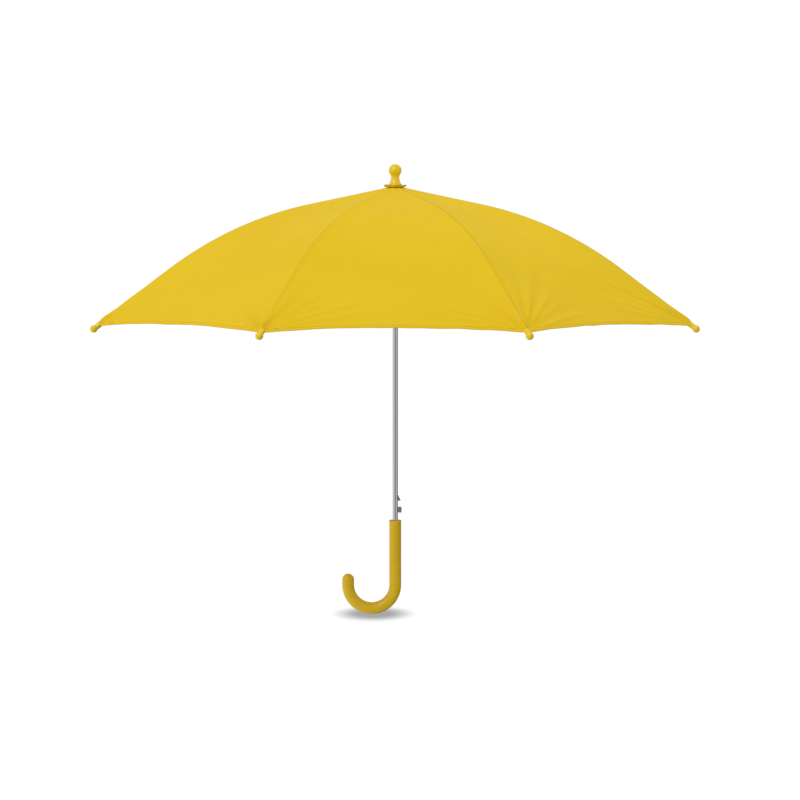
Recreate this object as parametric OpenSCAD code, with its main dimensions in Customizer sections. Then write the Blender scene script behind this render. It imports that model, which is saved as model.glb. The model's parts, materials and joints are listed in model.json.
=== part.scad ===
// Children's stick umbrella, stored open. Eight ribs hang from the crown at the
// top of a steel tube, eight stretchers join them to a runner that slides on it,
// and a J-shaped plastic grip closes the foot. Units are mm and +Z is up the shaft.
// The origin is on the shaft's axis, halfway up the straight part of the grip.

/* [Handle] */
// radius of the round plastic grip
grip_r = 8.15; // [7:0.05:11]
// height of the grip's top rim above the origin
grip_top = 45; // [30:1:60]
// radius of the hook's centreline
hook_r = 32.4; // [26:0.1:40]
// depth of the hook's centre below the origin
hook_drop = 44.5; // [30:0.5:60]
// straight length of the hook's free end above its centre
hook_leg = 7.2; // [2:0.1:20]

/* [Shaft] */
// outside radius of the steel tube
tube_r = 3.6; // [3:0.05:5]
// wall thickness of the tube
tube_wall = 0.5; // [0.4:0.05:1]
// foot of the tube inside the grip
tube_foot = -20; // [-30:1:0]
// head of the tube inside the finial
tube_head = 517; // [480:1:560]

/* [Frame] */
// number of ribs and of fabric panels
rib_count = 8; // [6:1:10]
// distance of the rib and stretcher pivots from the shaft's axis
pivot_r = 10; // [9:0.1:12]
// height of the rib pivots at the crown
crown_z = 496.7; // [490:0.1:498]
// downward slope of the straight inner part of a rib, in degrees
rib_slope_in = 11.6; // [8:0.1:16]
// downward slope of the straight outer part of a rib, in degrees
rib_slope_out = 35.81; // [34:0.01:38]
// distance from the axis at which a rib starts to bend
bend_from_r = 125; // [110:1:140]
// distance from the axis at which a rib is bent to its outer slope
bend_to_r = 319; // [300:1:335]
// distance of the tip balls from the axis
tip_r = 422; // [380:1:450]
// slope of a rib where its stretcher is riveted on, in degrees
joint_slope = 19; // [17:0.1:21]
// width of a rib's steel channel
rib_w = 2.4; // [2:0.1:3]
// depth of a rib's steel channel
rib_h = 2.6; // [2:0.1:3.2]
// width of a stretcher's steel channel
stretcher_w = 3.9; // [3.6:0.1:4.5]
// depth of a stretcher's steel channel
stretcher_h = 2.4; // [2:0.1:3]
// wall of both channels
channel_wall = 0.45; // [0.4:0.05:0.6]
// radius of the ball on each rib tip
ball_r = 4.85; // [4:0.05:6]

/* [Canopy] */
// height of the fabric's outer face above a rib's middle
cloth_rise = 3.2; // [2.6:0.1:4]
// thickness of the fabric in this model
cloth_t = 0.6; // [0.4:0.05:0.8]
// distance from the rib pivots in to the edge of the hole in the fabric's middle
cloth_in = 2; // [0:0.1:3]
// depth of the hem's arc between two tips
hem_cut = 6.5; // [4:0.5:24]
// distance along a rib from the fabric's corner to the ball's centre
corner_gap = 7; // [6:0.5:12]
// how far a panel sinks below the straight line between its ribs
panel_sag = 5; // [0:1:10]
// gap between neighbouring panels
panel_gap = 0.4; // [0.3:0.05:0.6]

/* [Runner and catches] */
// inside radius of the runner, a running fit on the tube
runner_bore_r = 3.68; // [3.62:0.01:3.7]
// outside radius of the runner's sleeve
sleeve_r = 6.2; // [5.6:0.1:7]
// length of the runner below its pivots
sleeve_len = 75.4; // [60:0.1:90]
// height of the flat under the lower catch
catch_z = 71.9; // [60:0.1:90]
// height of the lower catch from its flat to its point
catch_h = 8.7; // [6:0.1:12]
// how far the lower catch stands out of the tube
catch_out = 4; // [3:0.1:5]
// height of the middle of the release button
button_z = 59.45; // [50:0.05:70]
// height of the release button
button_h = 7.9; // [6:0.1:10]
// how far the release button stands out of the tube
button_out = 5.2; // [4:0.1:6]

/* [Hidden] */
$fn = 64;
steel = [0.72, 0.73, 0.74];
yellow = [0.9, 0.76, 0.17];
white = [0.93, 0.92, 0.88];
half_step = 180 / rib_count;
bore_r = tube_r - tube_wall;
bend_drop_from = (bend_from_r - pivot_r) * tan(rib_slope_in);
bend_rho = (bend_to_r - bend_from_r) / (sin(rib_slope_out) - sin(rib_slope_in));
inner_len = (bend_from_r - pivot_r) / cos(rib_slope_in);
bend_len = bend_rho * (rib_slope_out - rib_slope_in) * PI / 180;
outer_len = (tip_r - bend_to_r) / cos(rib_slope_out);
rib_len = inner_len + bend_len + outer_len;
joint_x = bend_from_r + bend_rho * (sin(joint_slope) - sin(rib_slope_in));
joint_drop = bend_drop_from + bend_rho * (cos(rib_slope_in) - cos(joint_slope));
arm_len = norm([joint_x - pivot_r, joint_drop]);
arm_slope = atan2(joint_drop, joint_x - pivot_r);
runner_z = crown_z - 2 * joint_drop;
foot_z = runner_z - sleeve_len;
eye_r = 1.3;
wire_r = 0.5;
eye_hole_r = 0.6;
rivet_r = 0.68;
tongue_w = 1.6;
notch_w = 2.2;
cheek_len = 8.5;
end_wire = 16;

// A rib's direction seen from above, counted from the front (-Y) towards +X.
function rib_turn(i) = -90 + half_step * (2 * i - 1);

// Slope of a rib at distance s along it from its pivot.
function slope_at(s) = s < inner_len ? rib_slope_in
  : s < inner_len + bend_len ? rib_slope_in + (s - inner_len) / bend_rho * 180 / PI
  : rib_slope_out;

// Distance from the axis and height of a rib's middle line at distance s along it.
function line_at(s) = s < inner_len
  ? [pivot_r + s * cos(rib_slope_in), crown_z - s * sin(rib_slope_in)]
  : s < inner_len + bend_len
  ? [bend_from_r + bend_rho * (sin(slope_at(s)) - sin(rib_slope_in)),
     crown_z - bend_drop_from - bend_rho * (cos(rib_slope_in) - cos(slope_at(s)))]
  : [bend_to_r + (s - inner_len - bend_len) * cos(rib_slope_out),
     crown_z - bend_drop_from - bend_rho * (cos(rib_slope_in) - cos(rib_slope_out))
     - (s - inner_len - bend_len) * sin(rib_slope_out)];

// The same line moved up, square to itself, by a distance.
function raised(s, up) = line_at(s) + up * [sin(slope_at(s)), cos(slope_at(s))];

// A point of the fabric over the rib that lies along +X: t is 0 on the rib and 1 at
// the middle of the panel, and side is 1 or -1.
function cloth_point(s, t, side, up) =
  let (p = raised(s, up), k = max(0, min(1, s / rib_len)))
  [p[0] * (1 - t * pow(sin(half_step), 2)),
   side * p[0] * t * sin(half_step) * cos(half_step),
   p[1] - panel_sag * t * (2 - t) * sin(180 * k)];

// Places children made along +X over rib number i.
module at_rib(i) {
  rotate([0, 0, rib_turn(i)])
    children();
}

// A round bar lying along Y, centred on a point of the XZ plane.
module cross_bar(x, z, r, len) {
  translate([x, 0, z])
    rotate([90, 0, 0])
      cylinder(r = r, h = len, center = true);
}

// Places children made along +X from a point, sloping down by an angle.
module run_from(x, z, slope) {
  translate([x, 0, z])
    rotate([0, slope, 0])
      children();
}

// Channel section: web at the top, open below, centred on the origin.
module channel_section(w, h) {
  difference() {
    square([h, w], center = true);
    translate([-channel_wall, 0])
      square([h, w - 2 * channel_wall], center = true);
  }
}

// Straight channel along +X with its web up, from x0 to x1.
module channel_bar(x0, x1, w, h) {
  translate([x0, 0, 0])
    rotate([0, 90, 0])
      rotate([0, 0, 180])
        linear_extrude(height = x1 - x0)
          channel_section(w, h);
}

// Flat eye and tongue that fit in a notch, with the crimp that joins the channel.
module eye_end(w, h) {
  difference() {
    union() {
      cross_bar(0, 0, eye_r, tongue_w);
      translate([0, -tongue_w / 2, -eye_r * 0.8])
        cube([8, tongue_w, eye_r * 1.6]);
      translate([6, -w / 2, -h / 2])
        cube([3, w, h]);
    }
    cross_bar(0, 0, eye_hole_r, tongue_w + 1);
  }
}

module rib() {
  color(steel)
  difference() {
    union() {
      run_from(pivot_r, crown_z, rib_slope_in) {
        eye_end(rib_w, rib_h);
        channel_bar(8, inner_len, rib_w, rib_h);
      }
      translate([bend_from_r, 0, crown_z - bend_drop_from])
        translate([-bend_rho * sin(rib_slope_in), 0, -bend_rho * cos(rib_slope_in)])
          rotate([90, 0, 0])
            rotate([0, 0, 90 - rib_slope_out])
              rotate_extrude(angle = rib_slope_out - rib_slope_in)
                translate([bend_rho, 0])
                  channel_section(rib_w, rib_h);
      run_from(bend_to_r, line_at(inner_len + bend_len)[1], rib_slope_out) {
        channel_bar(0, outer_len - end_wire, rib_w, rib_h);
        translate([outer_len - end_wire - 3, -rib_w / 2, -rib_h / 2])
          cube([3, rib_w, rib_h]);
        translate([outer_len - end_wire - 1, 0, 0])
          rotate([0, 90, 0])
            cylinder(r = 0.9, h = end_wire + 3);
      }
    }
    cross_bar(joint_x, crown_z - joint_drop, rivet_r, rib_w + 1);
  }
}

module rib_tip() {
  color(yellow)
  run_from(tip_r, line_at(rib_len)[1], rib_slope_out)
    difference() {
      union() {
        sphere(r = ball_r);
        translate([-corner_gap - 1, 0, 0])
          rotate([0, 90, 0])
            cylinder(r1 = 1.5, r2 = 1.9, h = corner_gap);
      }
      translate([-corner_gap - 2, 0, 0])
        rotate([0, 90, 0])
          cylinder(r = 0.95, h = corner_gap + 4.5);
    }
}

module joint_rivet() {
  color(steel)
  union() {
    cross_bar(joint_x, crown_z - joint_drop, rivet_r - 0.02, stretcher_w + 1.2);
    for (side = [-1, 1])
      translate([0, side * (stretcher_w / 2 + 0.5), 0])
        cross_bar(joint_x, crown_z - joint_drop, 1.2, 0.4);
  }
}

module stretcher() {
  color(steel)
  run_from(pivot_r, runner_z, -arm_slope)
    difference() {
      union() {
        eye_end(stretcher_w, stretcher_h);
        mirror([0, 0, 1])
          channel_bar(8, arm_len - cheek_len, stretcher_w, stretcher_h);
        for (side = [-1, 1])
          translate([0, side * (stretcher_w - channel_wall) / 2, 0]) {
            cross_bar(arm_len, 0, stretcher_h / 2, channel_wall);
            translate([arm_len - cheek_len - 1, -channel_wall / 2, -stretcher_h / 2])
              cube([cheek_len + 1, channel_wall, stretcher_h]);
          }
      }
      cross_bar(arm_len, 0, rivet_r + 0.06, stretcher_w + 1);
    }
}

// Skin from s0 to s1 along a rib and t0 to t1 across it, as a closed faceted sheet.
// The hem is cut back by an arc when arc is 1.
module skin(s0, s1, low, high, arc, rows, cols) {
  reach = function (s) 1 - panel_gap / 2 / (line_at(s)[0] * sin(half_step));
  across = function (j) abs(2 * j / cols - 1);
  cut = function (j) arc * hem_cut * across(j) * (2 - across(j));
  along = function (i, j) s0 + (s1 - cut(j) - s0) * i / rows;
  side = function (j) 2 * j < cols ? -1 : 1;
  points = [for (up = [high, low]) for (i = [0:rows]) for (j = [0:cols])
    let (s = along(i, j)) cloth_point(s, across(j) * reach(s), side(j), up)];
  at = function (k, i, j) k * (rows + 1) * (cols + 1) + i * (cols + 1) + j;
  top = [for (i = [0:rows - 1]) for (j = [0:cols - 1]) each
    [[at(0, i, j), at(0, i, j + 1), at(0, i + 1, j + 1)],
     [at(0, i, j), at(0, i + 1, j + 1), at(0, i + 1, j)]]];
  under = [for (i = [0:rows - 1]) for (j = [0:cols - 1]) each
    [[at(1, i, j), at(1, i + 1, j + 1), at(1, i, j + 1)],
     [at(1, i, j), at(1, i + 1, j), at(1, i + 1, j + 1)]]];
  ends = [for (j = [0:cols - 1]) each
    [[at(0, 0, j), at(1, 0, j), at(1, 0, j + 1)],
     [at(0, 0, j), at(1, 0, j + 1), at(0, 0, j + 1)],
     [at(0, rows, j), at(1, rows, j + 1), at(1, rows, j)],
     [at(0, rows, j), at(0, rows, j + 1), at(1, rows, j + 1)]]];
  sides = [for (i = [0:rows - 1]) each
    [[at(0, i, 0), at(1, i + 1, 0), at(1, i, 0)],
     [at(0, i, 0), at(0, i + 1, 0), at(1, i + 1, 0)],
     [at(0, i, cols), at(1, i, cols), at(1, i + 1, cols)],
     [at(0, i, cols), at(1, i + 1, cols), at(0, i + 1, cols)]]];
  polyhedron(points = points, faces = concat(top, under, ends, sides), convexity = 4);
}

module canopy_panel() {
  color(yellow)
  skin(-cloth_in, rib_len - corner_gap, cloth_rise - cloth_t, cloth_rise, 1, 16, 10);
}

module shaft_tube() {
  color(steel)
  difference() {
    translate([0, 0, tube_foot])
      cylinder(r = tube_r, h = tube_head - tube_foot);
    translate([0, 0, tube_foot - 1])
      cylinder(r = bore_r, h = tube_head - tube_foot + 2);
    translate([0, -1.5, catch_z - 0.6])
      cube([tube_r + 1, 3, catch_h + 1.2]);
    translate([0, -1.8, button_z - button_h / 2 - 0.4])
      cube([tube_r + 1, 3.6, button_h + 0.8]);
    translate([0, -1.5, foot_z - 10.2])
      cube([tube_r + 1, 3, 10.5]);
    for (z = [34, foot_z + 46])
      translate([0, 0, z])
        rotate([0, 90, 0])
          cylinder(r = 0.82, h = tube_r + 1);
    cross_bar(0, crown_z - 8, 0.82, 2 * tube_r + 2);
  }
}

module handle() {
  color(yellow)
  difference() {
    union() {
      translate([0, 0, -hook_drop])
        cylinder(r = grip_r, h = grip_top + hook_drop - 1);
      translate([0, 0, grip_top - 2.2])
        cylinder(r = grip_r + 0.35, h = 1.4);
      translate([0, 0, grip_top - 0.8])
        cylinder(r1 = grip_r + 0.35, r2 = grip_r - 0.6, h = 0.8);
      translate([-hook_r, 0, -hook_drop])
        rotate([90, 0, 0])
          rotate([0, 0, 180])
            rotate_extrude(angle = 180)
              translate([hook_r, 0])
                circle(r = grip_r);
      translate([-2 * hook_r, 0, -hook_drop])
        cylinder(r = grip_r, h = hook_leg);
      translate([-2 * hook_r, 0, hook_leg - hook_drop])
        sphere(r = grip_r);
    }
    translate([0, 0, tube_foot - 0.5])
      cylinder(r = tube_r + 0.05, h = grip_top - tube_foot + 2);
  }
}

module finial() {
  color(yellow)
  difference() {
    union() {
      translate([0, 0, 523.05])
        sphere(r = 8.6);
      rotate_extrude()
        polygon([[0, 502], [9.15, 502], [9.15, 503.2], [8.2, 504.6], [6.9, 507.2],
          [6.0, 510], [5.5, 513], [5.5, 517], [0, 517]]);
    }
    translate([0, 0, 501])
      cylinder(r = tube_r + 0.03, h = tube_head - 501 + 0.4);
  }
}

module top_rosette() {
  color(yellow)
  rotate_extrude()
    polygon([[tube_r + 0.3, 501.4], [14.4, 499.5], [14.4, 500.0], [tube_r + 0.3, 501.9]]);
}

// Notched ring shared by the crown and the runner: eight notches take the eyes and a
// groove takes the wire that they turn on.
module notched_ring(z, low, high, rim_r) {
  difference() {
    translate([0, 0, z - low])
      cylinder(r = rim_r, h = low + high);
    for (i = [1:rib_count])
      at_rib(i)
        translate([7.6, -notch_w / 2, z - low - 1])
          cube([rim_r, notch_w, low + high + 2]);
    rotate_extrude()
      translate([pivot_r - 0.6, z - 0.6])
        square([rim_r, 1.2]);
  }
}

module crown() {
  color(white)
  difference() {
    union() {
      notched_ring(crown_z, 3.4, 1.9, 11.5);
      translate([0, 0, crown_z - 11])
        cylinder(r = 6.5, h = 11);
    }
    translate([0, 0, crown_z - 12])
      cylinder(r = tube_r + 0.02, h = 20);
    cross_bar(0, crown_z - 8, 0.82, 16);
  }
}

// Ring of wire that the eyes hang on.
module ring_wire(z) {
  color(steel)
  translate([0, 0, z])
    rotate_extrude()
      translate([pivot_r, 0])
        circle(r = wire_r);
}

module crown_pin() {
  color(steel)
  cross_bar(0, crown_z - 8, 0.8, 12.8);
}

module crown_washer() {
  color(white)
  translate([0, 0, crown_z + 1.9])
    difference() {
      cylinder(r = 8, h = 0.6);
      translate([0, 0, -1])
        cylinder(r = tube_r + 0.05, h = 3);
    }
}

// Flat spring that lies in the tube with its end bent out into a catch.
module bottom_catch() {
  color(steel)
  difference() {
    rotate([90, 0, 0])
      translate([0, 0, -1.1])
        linear_extrude(height = 2.2)
          polygon([[1.2, 31], [1.7, 31], [1.7, catch_z], [tube_r + catch_out, catch_z],
            [tube_r - 0.3, catch_z + catch_h], [1.2, catch_z + catch_h]]);
    translate([0, 0, 34])
      rotate([0, 90, 0])
        cylinder(r = 0.82, h = 4);
  }
}

module top_catch() {
  color(steel)
  difference() {
    rotate([90, 0, 0])
      translate([0, 0, -1.1])
        linear_extrude(height = 2.2)
          polygon([[1.2, foot_z + 49], [1.7, foot_z + 49], [1.7, foot_z - 0.3],
            [tube_r + 2.4, foot_z - 0.3], [tube_r - 0.3, foot_z - 9.6],
            [1.2, foot_z - 9.6]]);
    translate([0, 0, foot_z + 46])
      rotate([0, 90, 0])
        cylinder(r = 0.82, h = 4);
  }
}

module catch_rivets() {
  color(steel)
  for (z = [34, foot_z + 46])
    translate([0.9, 0, z])
      rotate([0, 90, 0]) {
        cylinder(r = 1.3, h = 0.28);
        cylinder(r = 0.8, h = tube_r - 0.95);
      }
}

module release_button() {
  color(steel)
  union() {
    translate([2, -1.4, button_z - button_h / 2 - 1.4])
      cube([0.6, 2.8, button_h + 2.8]);
    translate([2, -1.4, button_z - button_h / 2])
      cube([tube_r + button_out - 2.6, 2.8, button_h]);
    translate([tube_r + button_out - 0.8, -1, button_z - button_h / 2 + 0.4])
      cube([0.8, 2, button_h - 0.8]);
  }
}

module runner() {
  color(white)
  difference() {
    union() {
      notched_ring(runner_z, 3.4, 2.2, 12);
      translate([0, 0, runner_z - 8.4])
        cylinder(r1 = sleeve_r, r2 = 7.4, h = 8);
      translate([0, 0, foot_z])
        cylinder(r = sleeve_r, h = sleeve_len - 2);
      translate([0, 0, foot_z])
        cylinder(r = 7.4, h = 5.4);
      translate([0, 0, foot_z + 5.4])
        cylinder(r1 = 7.4, r2 = sleeve_r, h = 1);
    }
    translate([0, 0, foot_z - 1])
      cylinder(r = runner_bore_r, h = sleeve_len + 10);
    translate([0, -1.7, foot_z + 6.5])
      cube([12, 3.4, 10.2]);
  }
}

// Fabric strap that lies down the slope over a seam and is sewn on at its upper end.
module tie_strap() {
  color(yellow)
  at_rib(5)
    intersection() {
      skin(265, rib_len - 40, cloth_rise + 0.05, cloth_rise + 1.05, 0, 10, 10);
      translate([200, -9, 250])
        cube([220, 18, 250]);
    }
}

module strap_stud() {
  color(steel)
  at_rib(5)
    translate([raised(rib_len - 52, cloth_rise + 1.1)[0], 0,
               raised(rib_len - 52, cloth_rise + 1.1)[1]])
      rotate([0, rib_slope_out, 0])
        cylinder(r = 4.6, h = 1.6);
}

shaft_tube();
handle();
finial();
top_rosette();
crown();
ring_wire(crown_z);  // crown_wire
crown_pin();
crown_washer();
top_catch();
bottom_catch();
catch_rivets();
release_button();
runner();
ring_wire(runner_z);  // runner_wire
tie_strap();
strap_stud();
for (i = [1:rib_count]) {
  at_rib(i) rib();
  at_rib(i) rib_tip();
  at_rib(i) joint_rivet();
  at_rib(i) stretcher();
  at_rib(i) canopy_panel();
}
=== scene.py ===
# Children's stick umbrella, shown open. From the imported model, the tube, its springs, the
# crown, ribs, stretchers and runner keep their shapes. The canopy's cloth and needlework,
# the grip, finial, tips, rosette and strap are made here and ride on its bodies. Most
# named sizes are in mm, and MM turns them into the scene's metres.

import json
import math
import random

import bmesh
import bpy
from mathutils import Matrix, Vector, noise


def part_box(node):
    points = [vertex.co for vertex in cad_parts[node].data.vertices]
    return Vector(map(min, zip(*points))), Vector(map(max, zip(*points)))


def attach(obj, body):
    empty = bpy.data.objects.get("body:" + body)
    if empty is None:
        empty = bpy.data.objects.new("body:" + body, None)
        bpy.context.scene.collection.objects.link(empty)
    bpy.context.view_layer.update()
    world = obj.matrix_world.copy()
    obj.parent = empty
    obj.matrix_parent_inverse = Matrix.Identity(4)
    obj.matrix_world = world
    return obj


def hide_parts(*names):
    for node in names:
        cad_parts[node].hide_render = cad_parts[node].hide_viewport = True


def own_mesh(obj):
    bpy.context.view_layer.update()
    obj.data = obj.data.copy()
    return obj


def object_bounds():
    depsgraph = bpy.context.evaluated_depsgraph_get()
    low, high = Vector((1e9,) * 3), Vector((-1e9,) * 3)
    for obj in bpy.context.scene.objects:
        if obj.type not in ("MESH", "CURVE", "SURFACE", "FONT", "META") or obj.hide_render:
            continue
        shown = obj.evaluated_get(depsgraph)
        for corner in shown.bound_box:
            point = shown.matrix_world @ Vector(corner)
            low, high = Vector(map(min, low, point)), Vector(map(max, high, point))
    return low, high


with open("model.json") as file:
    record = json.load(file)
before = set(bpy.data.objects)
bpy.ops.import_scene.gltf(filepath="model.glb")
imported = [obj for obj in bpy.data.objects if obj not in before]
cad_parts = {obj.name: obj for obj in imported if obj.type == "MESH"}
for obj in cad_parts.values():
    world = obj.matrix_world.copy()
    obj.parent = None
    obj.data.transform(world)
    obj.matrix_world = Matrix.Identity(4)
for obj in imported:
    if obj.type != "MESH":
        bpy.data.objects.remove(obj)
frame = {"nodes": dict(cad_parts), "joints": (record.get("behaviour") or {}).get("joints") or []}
cad_low, cad_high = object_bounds()
nodes = frame["nodes"]
MM = 0.001


# Shaft: a drawn steel tube, chromed. Its gloss has the long lines of the drawing, and
# fine rub marks run along the stretch that the runner slides over.

def feed(tree, socket, value):
    """Gives a socket a plain value, or links the output that is to feed it."""
    if isinstance(value, bpy.types.NodeSocket):
        tree.links.new(value, socket)
    else:
        socket.default_value = value


def add(tree, kind, settings=None, **sockets):
    """Adds a shader node; socket names are written with _ for a space."""
    made = tree.nodes.new("ShaderNode" + kind)
    for key, value in (settings or {}).items():
        setattr(made, key, value)
    for key, value in sockets.items():
        feed(tree, made.inputs[key.replace("_", " ")], value)
    return made


def calc(tree, operation, *values, clamp=False):
    """A Math node's result."""
    made = tree.nodes.new("ShaderNodeMath")
    made.operation = operation
    made.use_clamp = clamp
    for socket, value in zip(made.inputs, values):
        feed(tree, socket, value)
    return made.outputs[0]


def span(tree, value, low, high, to_low=0.0, to_high=1.0):
    """Maps low..high smoothly to to_low..to_high and holds the ends."""
    made = add(tree, "MapRange", {"interpolation_type": "SMOOTHSTEP"}, Value=value)
    for key, number in zip(("From Min", "From Max", "To Min", "To Max"),
                           (low, high, to_low, to_high)):
        feed(tree, made.inputs[key], number)
    return made.outputs["Result"]


def tint(tree, factor, colour_a, colour_b, blend="MIX"):
    """Mixes two colours by a factor."""
    made = add(tree, "Mix", {"data_type": "RGBA", "blend_type": blend})
    feed(tree, made.inputs[0], factor)
    feed(tree, made.inputs[6], colour_a)
    feed(tree, made.inputs[7], colour_b)
    return made.outputs[2]


def cloud(tree, vector, scale, detail=3.0, roughness=0.55):
    """A noise value round 0.5."""
    made = add(tree, "TexNoise", Vector=vector, Scale=scale, Detail=detail,
               Roughness=roughness)
    return made.outputs["Fac"]


def stretched(tree, vector, scale, turn=(0.0, 0.0, 0.0)):
    """Coordinates scaled by axis, so that a pattern runs along one of them."""
    return add(tree, "Mapping", Vector=vector, Scale=scale, Rotation=turn).outputs[0]


def place(tree):
    """The piece's own coordinates in metres."""
    return add(tree, "TexCoord").outputs["Object"]


def bump(tree, height, distance, strength=1.0, normal=None):
    """A normal from a height, on top of an earlier normal where one is given."""
    made = add(tree, "Bump", Height=height, Distance=distance, Strength=strength)
    if normal:
        feed(tree, made.inputs["Normal"], normal)
    return made.outputs["Normal"]


def new_finish(name, metallic=0.0, ior=1.5):
    """A material whose Principled shader is still to be wired."""
    material = bpy.data.materials.new(name)
    material.use_nodes = True
    shader = material.node_tree.nodes["Principled BSDF"]
    shader.inputs["Metallic"].default_value = metallic
    shader.inputs["IOR"].default_value = ior
    return material, material.node_tree, shader


def group_of(name, inputs, outputs):
    """An empty shader group with float or vector inputs and float outputs."""
    tree = bpy.data.node_groups.new(name, "ShaderNodeTree")
    for label, kind in inputs:
        tree.interface.new_socket(label, in_out="INPUT", socket_type="NodeSocket" + kind)
    for label, kind in outputs:
        tree.interface.new_socket(label, in_out="OUTPUT", socket_type="NodeSocket" + kind)
    return tree, tree.nodes.new("NodeGroupInput"), tree.nodes.new("NodeGroupOutput")


def use_group(tree, group, **sockets):
    """Places a shader group with its own values."""
    return add(tree, "Group", {"node_tree": group}, **sockets)


def rub_group():
    """Fine crossing rub marks, as a mask: few, thin and broken up by patches."""
    tree, given, result = group_of(
        "rub_marks", [("Vector", "Vector"), ("Scale", "Float")], [("Mask", "Float")])
    marks = []
    for turn in (0.5, -0.9, 2.1):
        lines = stretched(tree, given.outputs["Vector"], (1.0, 1.0, 0.08), (turn, turn, 0))
        fine = add(tree, "TexNoise", Vector=lines, Scale=given.outputs["Scale"],
                   Detail=1.0)
        marks.append(span(tree, fine.outputs["Fac"], 0.66, 0.72))
    patches = add(tree, "TexNoise", Vector=given.outputs["Vector"],
                  Scale=calc(tree, "MULTIPLY", given.outputs["Scale"], 0.12))
    both = calc(tree, "MAXIMUM", calc(tree, "MAXIMUM", marks[0], marks[1]), marks[2])
    worn = calc(tree, "MULTIPLY", both, span(tree, patches.outputs["Fac"], 0.45, 0.65))
    feed(tree, result.inputs["Mask"], worn)
    return tree


rub_marks = rub_group()
RUB_FADES = 20.0


def chrome():
    """Chromed drawn tube, rubbed along the runner's way, where the marks fade at both ends."""
    material, tree, shader = new_finish("chromed_tube", metallic=1.0)
    here = place(tree)
    drawn = cloud(tree, stretched(tree, here, (1.0, 1.0, 0.006)), 2400.0, 2.0)
    haze = cloud(tree, here, 28.0)
    travel_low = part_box("bottom_catch")[1].z
    travel_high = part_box("runner")[1].z
    height = add(tree, "SeparateXYZ", Vector=here).outputs["Z"]
    slid = calc(tree, "MULTIPLY",
                span(tree, height, travel_low, travel_low + RUB_FADES * MM),
                span(tree, height, travel_high, travel_high - RUB_FADES * MM))
    rubbed = calc(tree, "MULTIPLY", calc(tree, "MULTIPLY", slid, 0.7),
                  span(tree, cloud(tree, stretched(tree, here, (1.0, 1.0, 0.02)), 1500.0),
                       0.5, 0.7))
    rough = calc(tree, "ADD", span(tree, haze, 0.3, 0.7, 0.07, 0.13),
                 calc(tree, "MULTIPLY", rubbed, 0.16))
    feed(tree, shader.inputs["Roughness"], rough)
    feed(tree, shader.inputs["Base Color"],
         tint(tree, rubbed, (0.86, 0.87, 0.88, 1), (0.70, 0.71, 0.72, 1)))
    feed(tree, shader.inputs["Normal"], bump(tree, drawn, 0.00002, 0.35))
    return material


def dress(piece, material):
    """Puts one material in every slot of a piece."""
    if not piece.data.materials:
        piece.data.materials.append(material)
    for index in range(len(piece.data.materials)):
        piece.data.materials[index] = material


dress(nodes["shaft_tube"], chrome())


# Springs and button: flat spring steel pressed into catches that stand out of the
# tube's windows, a zinc-plated push button, and the rivets that hold the springs.

def spring_steel(name, colour, rough, grain=900.0):
    """Bare or plated spring steel, brushed along its length."""
    material, tree, shader = new_finish(name, metallic=1.0)
    here = place(tree)
    brushed = cloud(tree, stretched(tree, here, (1.0, 1.0, 0.05)), grain, 3.0)
    patches = cloud(tree, here, 160.0)
    darker = tuple(0.72 * c for c in colour[:3]) + (1.0,)
    feed(tree, shader.inputs["Base Color"],
         tint(tree, span(tree, patches, 0.4, 0.75), colour, darker))
    worn = use_group(tree, rub_marks, Vector=here, Scale=1400.0).outputs["Mask"]
    feed(tree, shader.inputs["Roughness"],
         calc(tree, "ADD", span(tree, patches, 0.2, 0.8, rough, rough + 0.14),
              calc(tree, "MULTIPLY", worn, 0.12)))
    feed(tree, shader.inputs["Normal"], bump(tree, brushed, 0.00003, 0.5))
    return material


catch_steel = spring_steel("spring_steel", (0.50, 0.49, 0.46, 1), 0.34)
for name in ("top_catch", "bottom_catch", "catch_rivets"):
    dress(nodes[name], catch_steel)
dress(nodes["release_button"], spring_steel("plated_button", (0.58, 0.57, 0.54, 1), 0.40))


# Crown and runner: white nylon mouldings whose eight notches take the eyes of the ribs
# and stretchers, each closed with a ring of wire. A pin holds the crown on the tube, and
# a nylon washer keeps the cloth off it.

def moulded(name, colour, rough, deeper=0.90, marks=0.10, grain=300.0, shine=0.4):
    """Injection-moulded plastic: faint cloudiness, an eggshell skin and rub marks."""
    material, tree, shader = new_finish(name, ior=1.49)
    here = place(tree)
    flow = cloud(tree, here, 34.0, 4.0)
    darker = tuple(deeper * c for c in colour[:3]) + (1.0,)
    feed(tree, shader.inputs["Base Color"],
         tint(tree, span(tree, flow, 0.3, 0.72), colour, darker))
    worn = use_group(tree, rub_marks, Vector=here, Scale=900.0).outputs["Mask"]
    smudge = span(tree, cloud(tree, here, 75.0, 2.0), 0.35, 0.7, 0.0, 0.07)
    feed(tree, shader.inputs["Roughness"],
         calc(tree, "ADD", calc(tree, "ADD", smudge, rough),
              calc(tree, "MULTIPLY", worn, marks)))
    feed(tree, shader.inputs["Normal"],
         bump(tree, cloud(tree, here, grain, 1.0), 0.00003, 0.05))
    shader.inputs["Specular IOR Level"].default_value = shine
    return material


nylon = moulded("white_nylon", (0.84, 0.83, 0.79, 1), 0.36)
for name in ("crown", "runner", "crown_washer"):
    dress(nodes[name], nylon)
wire = spring_steel("drawn_wire", (0.62, 0.62, 0.60, 1), 0.26)
for name in ("crown_wire", "runner_wire", "crown_pin"):
    dress(nodes[name], wire)


# Ribs and stretchers: steel strip rolled into open channels, tin-plated, pinned to each
# other by a rivet whose heads stand proud of the stretcher's cheeks.

RIBS = range(1, 9)


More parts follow.
